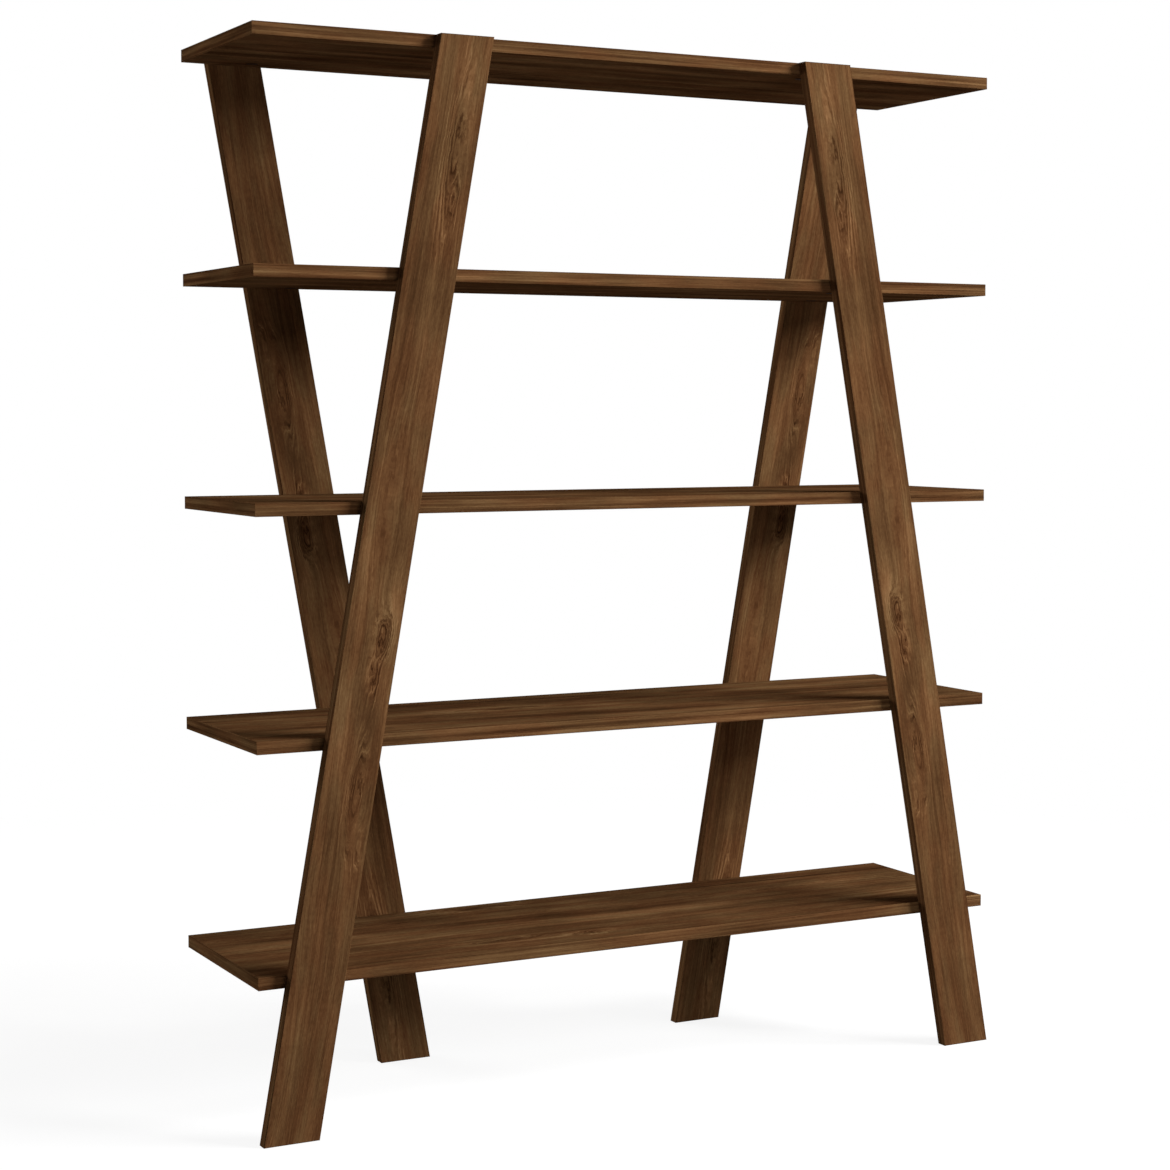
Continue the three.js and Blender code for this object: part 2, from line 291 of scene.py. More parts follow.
def make_walnut_group():
    """Tone = 1/2 + contrast * noise layers + light flanks and rings - hearts, dark rings and lines.

    Each layer adds amount * (noise(along * waves, growth * waves) - 1/2). The tone then picks the
    colour from a ramp of four browns.
    """
    tree, w, entry, leave = new_group(
        "walnut",
        {
            "Along": NUMBER,
            "Across": NUMBER,
            "Growth": NUMBER,
            "Figure": NUMBER,
            "Contrast": NUMBER,
        },
        {"Colour": COLOUR, "Height": NUMBER},
    )
    along, across, growth, figure = (entry[n] for n in ("Along", "Across", "Growth", "Figure"))
    grain = 0.0
    for waves_along, waves_across, detail, amount in NOISE_LAYERS:
        layer = w.noise(w.spread(along, growth, (waves_along, waves_across)), detail=detail)
        grain = w.maths("MULTIPLY_ADD", w.maths("SUBTRACT", layer, 0.5), amount, grain)
    tone = w.maths("MULTIPLY_ADD", grain, entry["Contrast"], 0.5)

    breaks = w.noise(w.spread(along, growth, BREAK_WAVES), detail=2)
    wobble = w.noise(w.spread(along, across, WOBBLE_WAVES), detail=2)
    wobble = w.maths("MULTIPLY", wobble, RING_WOBBLE)
    turn = w.maths("FRACT", w.maths("ADD", w.maths("DIVIDE", growth, RING_SPACING), wobble))
    turn = w.maths("ABSOLUTE", w.maths("SUBTRACT", turn, 0.5))
    broken = w.remap(breaks, *BREAKS)
    ring = w.maths("MULTIPLY", w.remap(turn, *RING_EDGE, 1.0, 0.0), broken)
    ring = w.maths("MULTIPLY", ring, w.remap(figure, *RINGS))
    pale = w.maths("MULTIPLY", w.remap(turn, *PALE_EDGE), broken)
    pale = w.maths("MULTIPLY", pale, w.remap(figure, *PALE_LINES))

    crest = w.noise(w.spread(along, growth, LINE_WAVES), detail=1)
    crest = w.maths("ABSOLUTE", w.maths("SUBTRACT", crest, 0.5))
    line = w.remap(crest, 0.0, LINE_WIDTH, 1.0, 0.0)
    line = w.maths("MULTIPLY", line, w.remap(across, *LINED_FIELD, *LINED_SHARE))
    gaps = w.noise(w.spread(along, growth, GAP_WAVES), detail=2)
    line = w.maths("MULTIPLY", line, w.remap(gaps, *GAPS))

    flank = w.maths("MULTIPLY", w.remap(figure, *FLANK_RISE), w.remap(figure, *FLANK_FALL))
    heart = w.remap(figure, *HEARTS)
    parts = (flank, pale, heart, ring, line)
    amounts = (FLANK_LIGHT, PALE_LINE, HEART_DARK, RING_DARK, LINE_DARK)
    for part, amount in zip(parts, amounts):
        tone = w.maths("MULTIPLY_ADD", part, amount, tone)
    browns = (DARK_WALNUT, BROWN_WALNUT, WARM_WALNUT, PALE_WALNUT)
    colour = w.ramp(tone, list(zip(TONE_STOPS, browns)))
    hue = w.noise(w.spread(along, across, HUE_WAVES), detail=2)
    tint = w.mix(w.remap(hue, *HUES), RED_TINT, GOLD_TINT)
    colour = w.vector("MULTIPLY", colour, tint)
    height = w.maths("SUBTRACT", grain, w.maths("ADD", ring, line))
    for name, value in (("Colour", colour), ("Height", height)):
        tree.links.new(value, leave[name])
    return tree


walnut_group = make_walnut_group()
print("walnut:", len(NOISE_LAYERS), "noise layers,", len(walnut_group.nodes), "nodes")

# %% [markdown]
# ## Walnut board and walnut edge strip
#
# The faces and the edge strips are the same print, but the strips are rolls of their own, eighteen
# millimetres wide. Their growth lines lie six times as close, so a narrow strip still shows
# several streaks. The print is matt, and its dark lines are pressed into it by a few hundredths of
# a millimetre. The mirror-like part of its reflection is left off, because a white room seen in it
# at a low angle would wash the brown out.

# %% Materials: walnut board and edge strip
PRINT_DEPTH = 0.00005  # metres that the dark lines are pressed in
WOOD_ROUGHNESS = 0.6


def new_material(name):
    """A material with an empty Principled shader, and the wires to fill it."""
    material = bpy.data.materials.new(name)
    material.use_nodes = True
    wires = Wires(material.node_tree)
    shader = material.node_tree.nodes["Principled BSDF"]
    return material, wires, shader


def join(wires, shader, **sockets):
    """Joins values to the shader's sockets; Base_Color stands for Base Color."""
    for name, value in sockets.items():
        socket = shader.inputs[name.replace("_", " ")]
        if isinstance(value, bpy.types.NodeSocket):
            wires.tree.links.new(value, socket)
        else:
            socket.default_value = value


def walnut_material(name, squeeze, contrast):
    """Walnut decor read from the UV map "sheet"; squeeze packs more growth lines side by side."""
    material, w, shader = new_material(name)
    sheet = w.add("ShaderNodeUVMap", uv_map="sheet").outputs[0]
    grown = w.add("ShaderNodeGroup", node_tree=growth_group)
    w.tree.links.new(sheet, grown.inputs["Sheet"])
    grown = grown.outputs
    growth = w.maths("MULTIPLY_ADD", grown["Across"], squeeze - 1, grown["Growth"])
    wood = w.add("ShaderNodeGroup", node_tree=walnut_group)
    wood.inputs["Contrast"].default_value = contrast
    for label in ("Along", "Across", "Figure"):
        w.tree.links.new(grown[label], wood.inputs[label])
    w.tree.links.new(growth, wood.inputs["Growth"])
    bump = w.add("ShaderNodeBump", {"Height": wood.outputs["Height"], "Distance": PRINT_DEPTH})
    join(
        w,
        shader,
        Base_Color=wood.outputs["Colour"],
        Roughness=WOOD_ROUGHNESS,
        Normal=bump.outputs[0],
        Specular_IOR_Level=0.0,
    )
    return material


leg_walnut = walnut_material("leg_walnut", squeeze=1.0, contrast=1.0)
shelf_walnut = walnut_material("shelf_walnut", squeeze=1.0, contrast=1.1)
strip_walnut = walnut_material("strip_walnut", squeeze=6.0, contrast=1.3)
print("materials:", leg_walnut.name, shelf_walnut.name, strip_walnut.name)

# %% [markdown]
# ## Chipboard, beech, zinc, steel and plastic
#
# These finishes are inside the joints. Chipboard is pressed flakes, so each cell of a Voronoi
# pattern is one flake with its own tan. Beech is pale, with short dark flecks along the dowel.
# The cam is cast zinc, dull and finely grained; the bolt is steel with a yellowish passivated
# coat; the cover is moulded plastic with a fine spark texture.

# %% Materials: what is inside a joint
CHIP_SCALE = 700  # flakes per metre
CHIP_DEPTH = 0.0003
BEECH_WAVES = (900, 60, 900)  # flecks per metre, long ones along Y
BEECH_DEPTH = 0.0001
CASTING_DEPTH = 0.00005  # of the fine grain on metal and plastic
SPARK_SCALE = 2600
FINE_RANGE = (0.3, 0.7)  # of the noise, from metal's smoothest spots to its roughest
ROUGHNESS_SWING = (-0.08, 0.10)  # what those spots take off its roughness or add to it


def chipboard_material():
    """Flakes a millimetre or two across, each in its own tan, with dark gaps between them."""
    material, w, shader = new_material("chipboard")
    place = w.add("ShaderNodeTexCoord").outputs["Object"]
    flakes = w.add("ShaderNodeTexVoronoi", {"Vector": place, "Scale": CHIP_SCALE})
    tan = w.ramp(
        w.add("ShaderNodeSeparateColor", {0: flakes.outputs["Color"]}).outputs[0],
        [(0.0, linear(122, 92, 58)), (0.5, linear(168, 136, 94)), (1.0, linear(201, 172, 128))],
    )
    bump = w.add("ShaderNodeBump", {"Height": flakes.outputs["Distance"], "Distance": CHIP_DEPTH})
    join(w, shader, Base_Color=tan, Roughness=0.9, Normal=bump.outputs[0])
    return material


def beech_material():
    """Pale pinkish wood, its grain running with the dowel, along Y."""
    material, w, shader = new_material("beech")
    place = w.add("ShaderNodeTexCoord").outputs["Object"]
    long_grain = w.vector("MULTIPLY", place, BEECH_WAVES)
    fleck = w.add("ShaderNodeTexNoise", {"Vector": long_grain, "Scale": 1.0, "Detail": 3})
    colour = w.ramp(
        fleck.outputs[0],
        [(0.30, linear(158, 116, 78)), (0.50, linear(204, 165, 122)), (0.75, linear(222, 188, 148))],
    )
    bump = w.add("ShaderNodeBump", {"Height": fleck.outputs[0], "Distance": BEECH_DEPTH})
    join(w, shader, Base_Color=colour, Roughness=0.7, Normal=bump.outputs[0])
    return material


def metal_material(name, colours, grain, roughness):
    """Bare metal whose tone and roughness both follow one fine noise of the given scale."""
    material, w, shader = new_material(name)
    place = w.add("ShaderNodeTexCoord").outputs["Object"]
    fine = w.add("ShaderNodeTexNoise", {"Vector": place, "Scale": grain, "Detail": 4}).outputs[0]
    tone = w.ramp(fine, [(0.35, colours[0]), (0.65, colours[1])])
    rough = w.remap(fine, *FINE_RANGE, *(roughness + swing for swing in ROUGHNESS_SWING))
    bump = w.add("ShaderNodeBump", {"Height": fine, "Distance": CASTING_DEPTH})
    join(w, shader, Base_Color=tone, Roughness=rough, Metallic=1.0, Normal=bump.outputs[0])
    return material


def cover_material():
    """Brown moulded plastic with the sparkle of an eroded mould."""
    material, w, shader = new_material("cover_plastic")
    place = w.add("ShaderNodeTexCoord").outputs["Object"]
    fine = {"Vector": place, "Scale": SPARK_SCALE, "Detail": 2}
    spark = w.add("ShaderNodeTexNoise", fine).outputs[0]
    colour = w.ramp(spark, [(0.35, linear(50, 32, 20)), (0.70, linear(72, 48, 31))])
    bump = w.add("ShaderNodeBump", {"Height": spark, "Distance": CASTING_DEPTH})
    join(
        w,
        shader,
        Base_Color=colour,
        Roughness=0.6,
        Normal=bump.outputs[0],
        Specular_IOR_Level=0.05,
    )
    return material


chipboard = chipboard_material()
beech = beech_material()
cam_zinc = metal_material("cam_zinc", (linear(150, 152, 155), linear(190, 192, 194)), 900, 0.42)
bolt_steel = metal_material("bolt_steel", (linear(176, 160, 112), linear(212, 204, 170)), 300, 0.32)
cover_plastic = cover_material()
print("materials inside the joints: chipboard, beech, zinc, steel, plastic")

# %% [markdown]
# ## From arrays to a mesh
#
# Every new piece is worked out as whole arrays of points and handed to Blender in one go. A board
# is a flat outline pushed through its thickness. Its UV map is in metres on the decor sheet, so
# the print keeps its size on every board.

# %% Helpers: arrays to a piece


def new_piece(name, points, faces, materials, uvs=None, face_materials=None, smooth=False):
    """A mesh object from points (n, 3) and a list of faces, with UVs given one per face corner."""
    mesh = bpy.data.meshes.new(name)
    mesh.from_pydata(np.asarray(points, float).tolist(), [], [list(map(int, f)) for f in faces])
    for material in materials:
        mesh.materials.append(material)
    if face_materials is not None:
        mesh.polygons.foreach_set("material_index", np.asarray(face_materials, np.int32))
    if uvs is not None:
        layer = mesh.uv_layers.new(name="sheet")
        layer.data.foreach_set("uv", np.asarray(uvs, np.float32).ravel())
    mesh.polygons.foreach_set("use_smooth", np.full(len(faces), smooth))
    mesh.validate()
    piece = bpy.data.objects.new(name, mesh)
    bpy.context.scene.collection.objects.link(piece)
    return piece


def ring_faces(rings, sides):
    """Quads between neighbouring rings of points, each ring closed on itself."""
    r, c = np.meshgrid(np.arange(rings - 1), np.arange(sides), indexing="ij")
    after = (c + 1) % sides
    quads = [r * sides + c, r * sides + after, (r + 1) * sides + after, (r + 1) * sides + c]
    return np.stack(quads, -1).reshape(-1, 4)


def turned(profile, sides, wave=None):
    """A closed turned surface about +Z. profile is (radius, height) pairs from bottom to top.

    Each point is (radius cos t, radius sin t, height) for the angle t round the axis; wave(t, h)
    adds to the radius. The two ends close on the axis with a fan of triangles.
    """
    radius, height = np.array(profile, float).T
    t = np.linspace(0, 2 * np.pi, sides, endpoint=False)
    t, h = np.meshgrid(t, height)
    r = radius[:, None] + (np.zeros_like(h) if wave is None else wave(t, h))
    rings = np.stack([r * np.cos(t), r * np.sin(t), h], -1).reshape(-1, 3)
    ends = [[0, 0, height[0]], [0, 0, height[-1]]]
    points = np.vstack([rings, ends])
    last = (len(height) - 1) * sides
    around, after = np.arange(sides), (np.arange(sides) + 1) % sides
    bottom = [(len(rings), b, a) for a, b in zip(around, after)]
    top = [(len(rings) + 1, last + a, last + b) for a, b in zip(around, after)]
    faces = [tuple(f) for f in ring_faces(len(height), sides)] + bottom + top
    return points, faces


def lay_axis(points, start, direction):
    """Turns points so that their +Z runs along direction, one of the axes, and moves them."""
    z = np.array(direction, float)
    x = np.array([1.0, 0, 0]) if abs(z[0]) < 0.5 else np.array([0, 1.0, 0])
    y = np.cross(z, x)
    return points @ np.array([x, y, z]) + np.array(start, float)


print("array helpers ready")

# %% [markdown]
# ## Joints
#
# Each of the twenty crossings of a shelf and a leg is one joint. The frame says where its bolt
# and its cam are; the dowel sits 32 mm further out, on the same line. The list of joints made
# here places the bores, the dowels, the bolts and the covers.

# %% Find the joints
SHELVES = ["bottom", "lower", "middle", "upper", "top"]
CORNERS = ["front_left", "front_right", "rear_left", "rear_right"]
DOWEL_SPACING = 32 * MM


def find_joint(shelf, corner):
    """One joint's places: the edge where shelf meets leg, and the bolt, dowel and cam centres."""
    bolt_low, bolt_high = (np.array(c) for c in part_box(f"bolt_{shelf}_{corner}"))
    cam_low, cam_high = (np.array(c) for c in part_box(f"cam_{shelf}_{corner}"))
    shelf_low, shelf_high = (np.array(c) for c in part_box(f"shelf_{shelf}"))
    side = -1 if "left" in corner else 1
    face = -1 if "front" in corner else 1
    bolt = (bolt_low + bolt_high) / 2
    edge_y = shelf_low[1] if face < 0 else shelf_high[1]
    return {
        "name": f"{shelf}_{corner}",
        "shelf": shelf,
        "corner": corner,
        "face": face,
        "edge": np.array([bolt[0], edge_y, bolt[2]]),
        "dowel": np.array([bolt[0] + side * DOWEL_SPACING, edge_y, bolt[2]]),
        "cam": (cam_low + cam_high) / 2,
        "underside": shelf_low[2],
        "cam_top": cam_high[2],
    }


joints = [find_joint(shelf, corner) for shelf in SHELVES for corner in CORNERS]
print("joints:", len(joints), "first at", np.round(joints[0]["edge"], 3).tolist())

# %% [markdown]
# ## Boards with real bores
#
# A board starts as its outline pushed through its thickness, 0.9 mm smaller all round than the
# finished board, which leaves room for the edge strips and a glue line. The smaller outline comes
# from moving each side inwards and finding where the moved sides meet. Then the bores are drilled
# with a Boolean modifier: the drills are closed cylinders, and the new walls inside the holes get
# the second material slot, raw chipboard.

# %% Helpers: board and drills
STRIP_THICKNESS = 0.8 * MM
GLUE_LINE = 0.1 * MM
DRILL_SIDES = 40
POCKET_RADIUS = 7.5 * MM
POCKET_CLEARANCE = 0.3 * MM  # above the cam
BOLT_BORE_RADIUS = 3.95 * MM
LEG_BORE_RADIUS = 3.25 * MM
DOWEL_HOLE_RADIUS = 4.0 * MM
DOWEL_IN_SHELF = 22 * MM
DOWEL_IN_LEG = 11 * MM
BOLT_IN_LEG = 11.4 * MM
OVERSHOOT = 1 * MM


def corner_points(outline, distances):
    """The corners of a convex outline whose sides are each moved inwards by their own distance.

    Each side lies on the line inward . p = level; a corner solves two neighbouring lines.
    """
    outline = np.array(outline, float)
    edge = np.roll(outline, -1, 0) - outline
    inward = np.stack([-edge[:, 1], edge[:, 0]], 1) / np.linalg.norm(edge, axis=1)[:, None]
    level = (inward * outline).sum(1) + distances
    sides = np.stack([np.roll(inward, 1, 0), inward], 1)
    levels = np.stack([np.roll(level, 1), level], 1)
    return np.linalg.solve(sides, levels[:, :, None])[:, :, 0]


def slab(name, outline, low, high, to_space, sheet_of, materials):
    """A flat board: outline (n, 2) from low to high. to_space puts (a, b, c) into the frame."""
    n = len(outline)
    flat = np.vstack([np.column_stack([outline, np.full(n, c)]) for c in (low, high)])
    faces = [list(range(n))[::-1], list(range(n, 2 * n))]
    faces += [[i, (i + 1) % n, n + (i + 1) % n, n + i] for i in range(n)]
    corners = np.concatenate([np.array(f) for f in faces])
    uvs = sheet_of(flat[corners], np.repeat(np.arange(len(faces)), [len(f) for f in faces]))
    return new_piece(name, to_space(flat), faces, materials, uvs)


def drill(start, direction, depth, radius):
    """A closed cylinder that starts just outside the surface and ends at depth."""
    profile = [(radius, -OVERSHOOT), (radius, depth)]
    points, faces = turned(profile, DRILL_SIDES)
    return lay_axis(points, start, direction), faces


def bore(piece, drills):
    """Cuts drills out of piece and keeps the result as its mesh. Drills in one call don't touch."""
    points, faces, count = [], [], 0
    for drill_points, drill_faces in drills:
        points.append(drill_points)
        faces += [[i + count for i in face] for face in drill_faces]
        count += len(drill_points)
    corners = sum(len(f) for f in faces)
    tool = new_piece(
        "drills",
        np.vstack(points),
        faces,
        list(piece.data.materials),
        np.zeros((corners, 2)),
        np.ones(len(faces)),
    )
    cut = piece.modifiers.new("bores", "BOOLEAN")
    cut.object, cut.operation, cut.solver = tool, "DIFFERENCE", "EXACT"
    ready = bpy.context.evaluated_depsgraph_get()
    drilled = bpy.data.meshes.new_from_object(piece.evaluated_get(ready))
    piece.modifiers.clear()
    old, piece.data = piece.data, drilled
    bpy.data.meshes.remove(old)
    drilled.name = piece.name
    bpy.data.objects.remove(tool)
    return piece


print("strip", STRIP_THICKNESS / MM, "mm, glue line", GLUE_LINE / MM, "mm")

# %% [markdown]
# ## Edge strips
#
# A strip is a ribbon 0.8 mm thick and as wide as the board, with its two outer corners rounded
# off where the trimmer ran. Its shape is that profile carried along one side of the board. The
# long strips run to the corners and cover the ends of the short ones, as the edge banding machine
# leaves them, so each end of a strip is cut on the line of the side it meets.

# %% Helper: edge strip
ARC_STEPS = 4


def strip_profile(thickness, width):
    """(depth, height) round the strip: depth 0 is the outside, with two quarter-round corners."""
    turn = np.linspace(0, np.pi / 2, ARC_STEPS + 1)
    lower = np.column_stack([thickness * (1 - np.sin(turn)), thickness * (1 - np.cos(turn))])
    upper = np.column_stack([lower[:, 0], width - lower[:, 1]])[::-1]
    return np.vstack([lower, upper])


def edge_strip(name, outline, side, low, high, to_space, start_at, covers_corners):
    """The strip on one side of a board's outline, from low to high through its thickness.

    Every profile point travels along the line parallel to the side at its own depth, between the
    two neighbouring sides: all the way to them if the strip covers the corners, and otherwise to
    the back of the strips that do.
    """
    n = len(outline)
    profile = strip_profile(STRIP_THICKNESS, high - low)
    ends = 0.0 if covers_corners else STRIP_THICKNESS
    first, second = [], []
    for depth in profile[:, 0]:
        lines = np.zeros(n)
        lines[side] = depth
        lines[side - 1] = lines[(side + 1) % n] = ends
        corner = corner_points(outline, lines)
        first.append(corner[side])
        second.append(corner[(side + 1) % n])
    rows = [np.column_stack([np.array(end), low + profile[:, 1]]) for end in (first, second)]
    count = len(profile)
    points = np.vstack(rows)
    quads = [[i, (i + 1) % count, count + (i + 1) % count, count + i] for i in range(count)]
    faces = quads + [list(range(count))[::-1], list(range(count, 2 * count))]
    length = np.linalg.norm(rows[1][:, :2] - rows[0][:, :2], axis=1).mean()
    around = np.r_[0, np.cumsum(np.linalg.norm(np.diff(profile, axis=0), axis=1))]
    around = np.r_[around, around[-1] + (high - low)]
    uvs = []
    for i in range(count):
        uvs += [(0, around[i]), (0, around[i + 1]), (length, around[i + 1]), (length, around[i])]
    for end, order in ((0, range(count)[::-1]), (1, range(count))):
        uvs += [(end * length + profile[i, 0], profile[i, 1]) for i in order]
    uvs = np.array(uvs) + np.array(start_at)
    return new_piece(name, to_space(points), faces, [strip_walnut], uvs)


print("strip profile has", len(strip_profile(1, 18)), "points")

# %% [markdown]
# ## Shelves
#
# The grain runs along each shelf. All five are cut from the same field of the sheet, each from
# its own place, and the underside shows another part of the print than the top. Each
# shelf is drilled twice: first the cam pockets and dowel holes, then the bolt bores, which run
# from the edge into the pockets.

# %% Build the shelves
# Where each shelf's front left corner lies on the sheet, from the bottom shelf to the top one.
SHELF_SHEET = [(0.0, 0.35), (0.0, 0.455), (0.27, 0.38), (-0.29, 0.35), (0.12, 0.42)]
UNDERSIDE_SHEET = (3.1, 0.0)  # and this much further along and across for its underside
SHELF_SHIFT = 0.031  # each shelf's strips are cut this much further along than those below
LONG_STRIP_SHEET = (0.0, 1.0)
SHORT_STRIP_SHEET = (0.4, 1.4)
STRIP_PITCH = 0.05  # strips lie this far apart on their own part of the sheet


def build_shelf(level, shelf):
    """One shelf: drilled board and four edge strips, riding on the frame."""
    node = f"shelf_{shelf}"
    low, high = (np.array(c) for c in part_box(node))
    outline = [(low[0], low[1]), (high[0], low[1]), (high[0], high[1]), (low[0], high[1])]

    def to_space(flat):
        """A shelf's outline is already in the frame's X and Y."""
        return flat

    def sheet_of(points, face):
        """The place on the sheet of points on the board; face 0 is the underside."""
        top = points[:, :2] - low[:2] + SHELF_SHEET[level]
        return np.where((face == 0)[:, None], top + UNDERSIDE_SHEET, top)

    core = corner_points(outline, np.full(4, STRIP_THICKNESS + GLUE_LINE))
    faced = [shelf_walnut, chipboard]
    board = slab(f"{node}_board", core, low[2], high[2], to_space, sheet_of, faced)
    here = [joint for joint in joints if joint["shelf"] == shelf]
    first, second = [], []
    for joint in here:
        inward = (0, -joint["face"], 0)
        pocket = (joint["cam"][0], joint["cam"][1], low[2])
        pocket_depth = joint["cam_top"] + POCKET_CLEARANCE - low[2]
        first.append(drill(pocket, (0, 0, 1), pocket_depth, POCKET_RADIUS))
        first.append(drill(joint["dowel"], inward, DOWEL_IN_SHELF, DOWEL_HOLE_RADIUS))
        reach = abs(joint["cam"][1] - joint["edge"][1])
        second.append(drill(joint["edge"], inward, reach, BOLT_BORE_RADIUS))
    bore(bore(board, first), second)
    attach(board, "root")
    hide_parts(node)
    for side, label in enumerate(("front", "right", "rear", "left")):
        long_side = side % 2 == 0
        base = LONG_STRIP_SHEET if long_side else SHORT_STRIP_SHEET
        start = (base[0] + level * SHELF_SHIFT, base[1] + (4 * level + side) * STRIP_PITCH)
        strip = edge_strip(
            f"{node}_strip_{label}", outline, side, low[2], high[2], to_space, start, long_side
        )
        if long_side:
            holes = []
            for joint in (j for j in here if (j["face"] < 0) == (side == 0)):
                inward = (0, -joint["face"], 0)
                holes.append(drill(joint["dowel"], inward, DOWEL_IN_SHELF, DOWEL_HOLE_RADIUS))
                holes.append(drill(joint["edge"], inward, DOWEL_IN_SHELF, BOLT_BORE_RADIUS))
            bore(strip, holes)
        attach(strip, "root")
    return board


for level, shelf in enumerate(SHELVES):
    built = build_shelf(level, shelf)
    print(built.name, len(built.data.polygons), "faces")

# %% [markdown]
# ## Legs
#
# A leg is a leaning board whose ends are cut level, so its outline is a parallelogram that stands
# in the X-Z plane. The print runs along the leg: it starts at the foot of a front leg and at the
# head of a rear leg, because the rear legs are the same boards turned end for end, and the left
# pair mirrors the right one.

# %% Build the legs
LEG_LEAN = math.radians(10)
LEG_STRIP_SHEET = (0.0, 2.6)


def leg_outline(low, high, leans_right):
    """The parallelogram in X-Z, counter-clockwise from its foot: foot, foot, head, head."""
    travel = (high[2] - low[2]) * math.tan(LEG_LEAN)
    width = high[0] - low[0] - travel
    foot = low[0] if leans_right else low[0] + travel
    head = low[0] + travel if leans_right else low[0]
    return [(foot, low[2]), (foot + width, low[2]), (head + width, high[2]), (head, high[2])]


def build_leg(number, corner):
    """One leg: drilled board and four edge strips."""
    node = f"leg_{corner}"
    low, high = (np.array(c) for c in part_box(node))
    left, front = "left" in corner, "front" in corner
    outline = leg_outline(low, high, leans_right=(left == front))
    upright = np.array([math.sin(LEG_LEAN) * (1 if left == front else -1), math.cos(LEG_LEAN)])
    sideways = np.array([upright[1], -upright[0]]) * (1 if left else -1)  # towards the middle
    start = np.array(outline[(0 if front else 2) + (0 if left else 1)])  # of the print
    middle = (np.array(outline[0]) + outline[1]) / 2

    def to_space(flat):
        """(x, z, depth) to (x, y, z): depth 0 is the rear face, so the order stays right-handed."""
        return np.column_stack([flat[:, 0], high[1] - flat[:, 2], flat[:, 1]])

    def sheet_of(points, face):
        """The place on the sheet: along the leg from where the print starts, and off its middle."""
        along = (points[:, :2] - start) @ upright
        across = (points[:, :2] - middle) @ sideways
        if not front:
            along, across = -along, -across
        return np.column_stack([along, across])

    thickness = high[1] - low[1]
    core = corner_points(outline, np.full(4, STRIP_THICKNESS + GLUE_LINE))
    board = slab(f"{node}_board", core, 0, thickness, to_space, sheet_of, [leg_walnut, chipboard])
    drills = []
    for joint in (j for j in joints if j["corner"] == corner):
        outward = (0, joint["face"], 0)
        drills.append(drill(joint["edge"], outward, BOLT_IN_LEG, LEG_BORE_RADIUS))
        drills.append(drill(joint["dowel"], outward, DOWEL_IN_LEG, DOWEL_HOLE_RADIUS))
    bore(board, drills)
    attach(board, "root")
    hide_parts(node)
    for side, label in enumerate(("foot", "right", "head", "left")):
        start_at = (LEG_STRIP_SHEET[0], LEG_STRIP_SHEET[1] + (4 * number + side) * STRIP_PITCH)
        strip = edge_strip(
            f"{node}_strip_{label}", outline, side, 0, thickness, to_space, start_at, side % 2 == 1
        )
        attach(strip, "root")
    return board


for number, corner in enumerate(CORNERS):
    built = build_leg(number, corner)
    print(built.name, len(built.data.polygons), "faces")

# %% [markdown]
# ## Dowels, bolts and covers
#
# These are turned pieces. The dowel is fluted along its length, so glue can escape. The bolt has
# a real thread: its radius rises and falls with the angle minus the height over the pitch, which
# is a helix. The cover is a shallow dome with a thin stem that snaps into the cam's cross recess.

# %% Build the turned pieces
DOWEL_RADIUS = 3.9 * MM
DOWEL_FLUTES = 20
POINTS_PER_FLUTE = 4
FLUTE_DEPTH = 0.12 * MM
DOWEL_CHAMFER = 1.2 * MM
DOWEL_PLAY = 0.6 * MM  # dowel end to the bottom of its hole
THREAD_PITCH = 1.75 * MM
THREAD_HEIGHT = 0.55 * MM
THREAD_STEPS = 60
THREAD_LEAD_IN = 2 * MM
THREAD_RUN_OUT = 1 * MM
BOLT_SIDES = 24
ROUNDING_STEPS = 4
TIP_RADIUS = 1.2 * MM
COVER_RADIUS = 8.6 * MM
COVER_DOME = 1.1 * MM
COVER_STEM = 0.65 * MM
COVER_STEM_LENGTH = 2.2 * MM
COVER_RIM = 0.3 * MM
COVER_FLAT = 0.4 * MM  # radius of the flat spot in its middle
COVER_STEPS = 6
COVER_SIDES = 48


def build_dowel(joint):
    """A fluted beech dowel across one joint, chamfered at both ends."""
    start = -(DOWEL_IN_LEG - DOWEL_PLAY)
    end = DOWEL_IN_SHELF - DOWEL_PLAY
    c = DOWEL_CHAMFER
    heights = [start, start + c / 3, start + c, 0, end - c, end - c / 3, end]
    radii = [DOWEL_RADIUS - d for d in (c / 2, c / 4, 0, 0, 0, c / 4, c / 2)]

    def flutes(angle, height):
        """Dips of FLUTE_DEPTH, as many as there are flutes, along the whole length."""
        return -FLUTE_DEPTH * (0.5 + 0.5 * np.cos(DOWEL_FLUTES * angle)) * np.ones_like(height)

    points, faces = turned(list(zip(radii, heights)), DOWEL_FLUTES * POINTS_PER_FLUTE, flutes)
    points = lay_axis(points, joint["dowel"], (0, -joint["face"], 0))
    dowel = new_piece(f"dowel_{joint['name']}", points, faces, [beech], smooth=True)
    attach(dowel, "root")
    return dowel


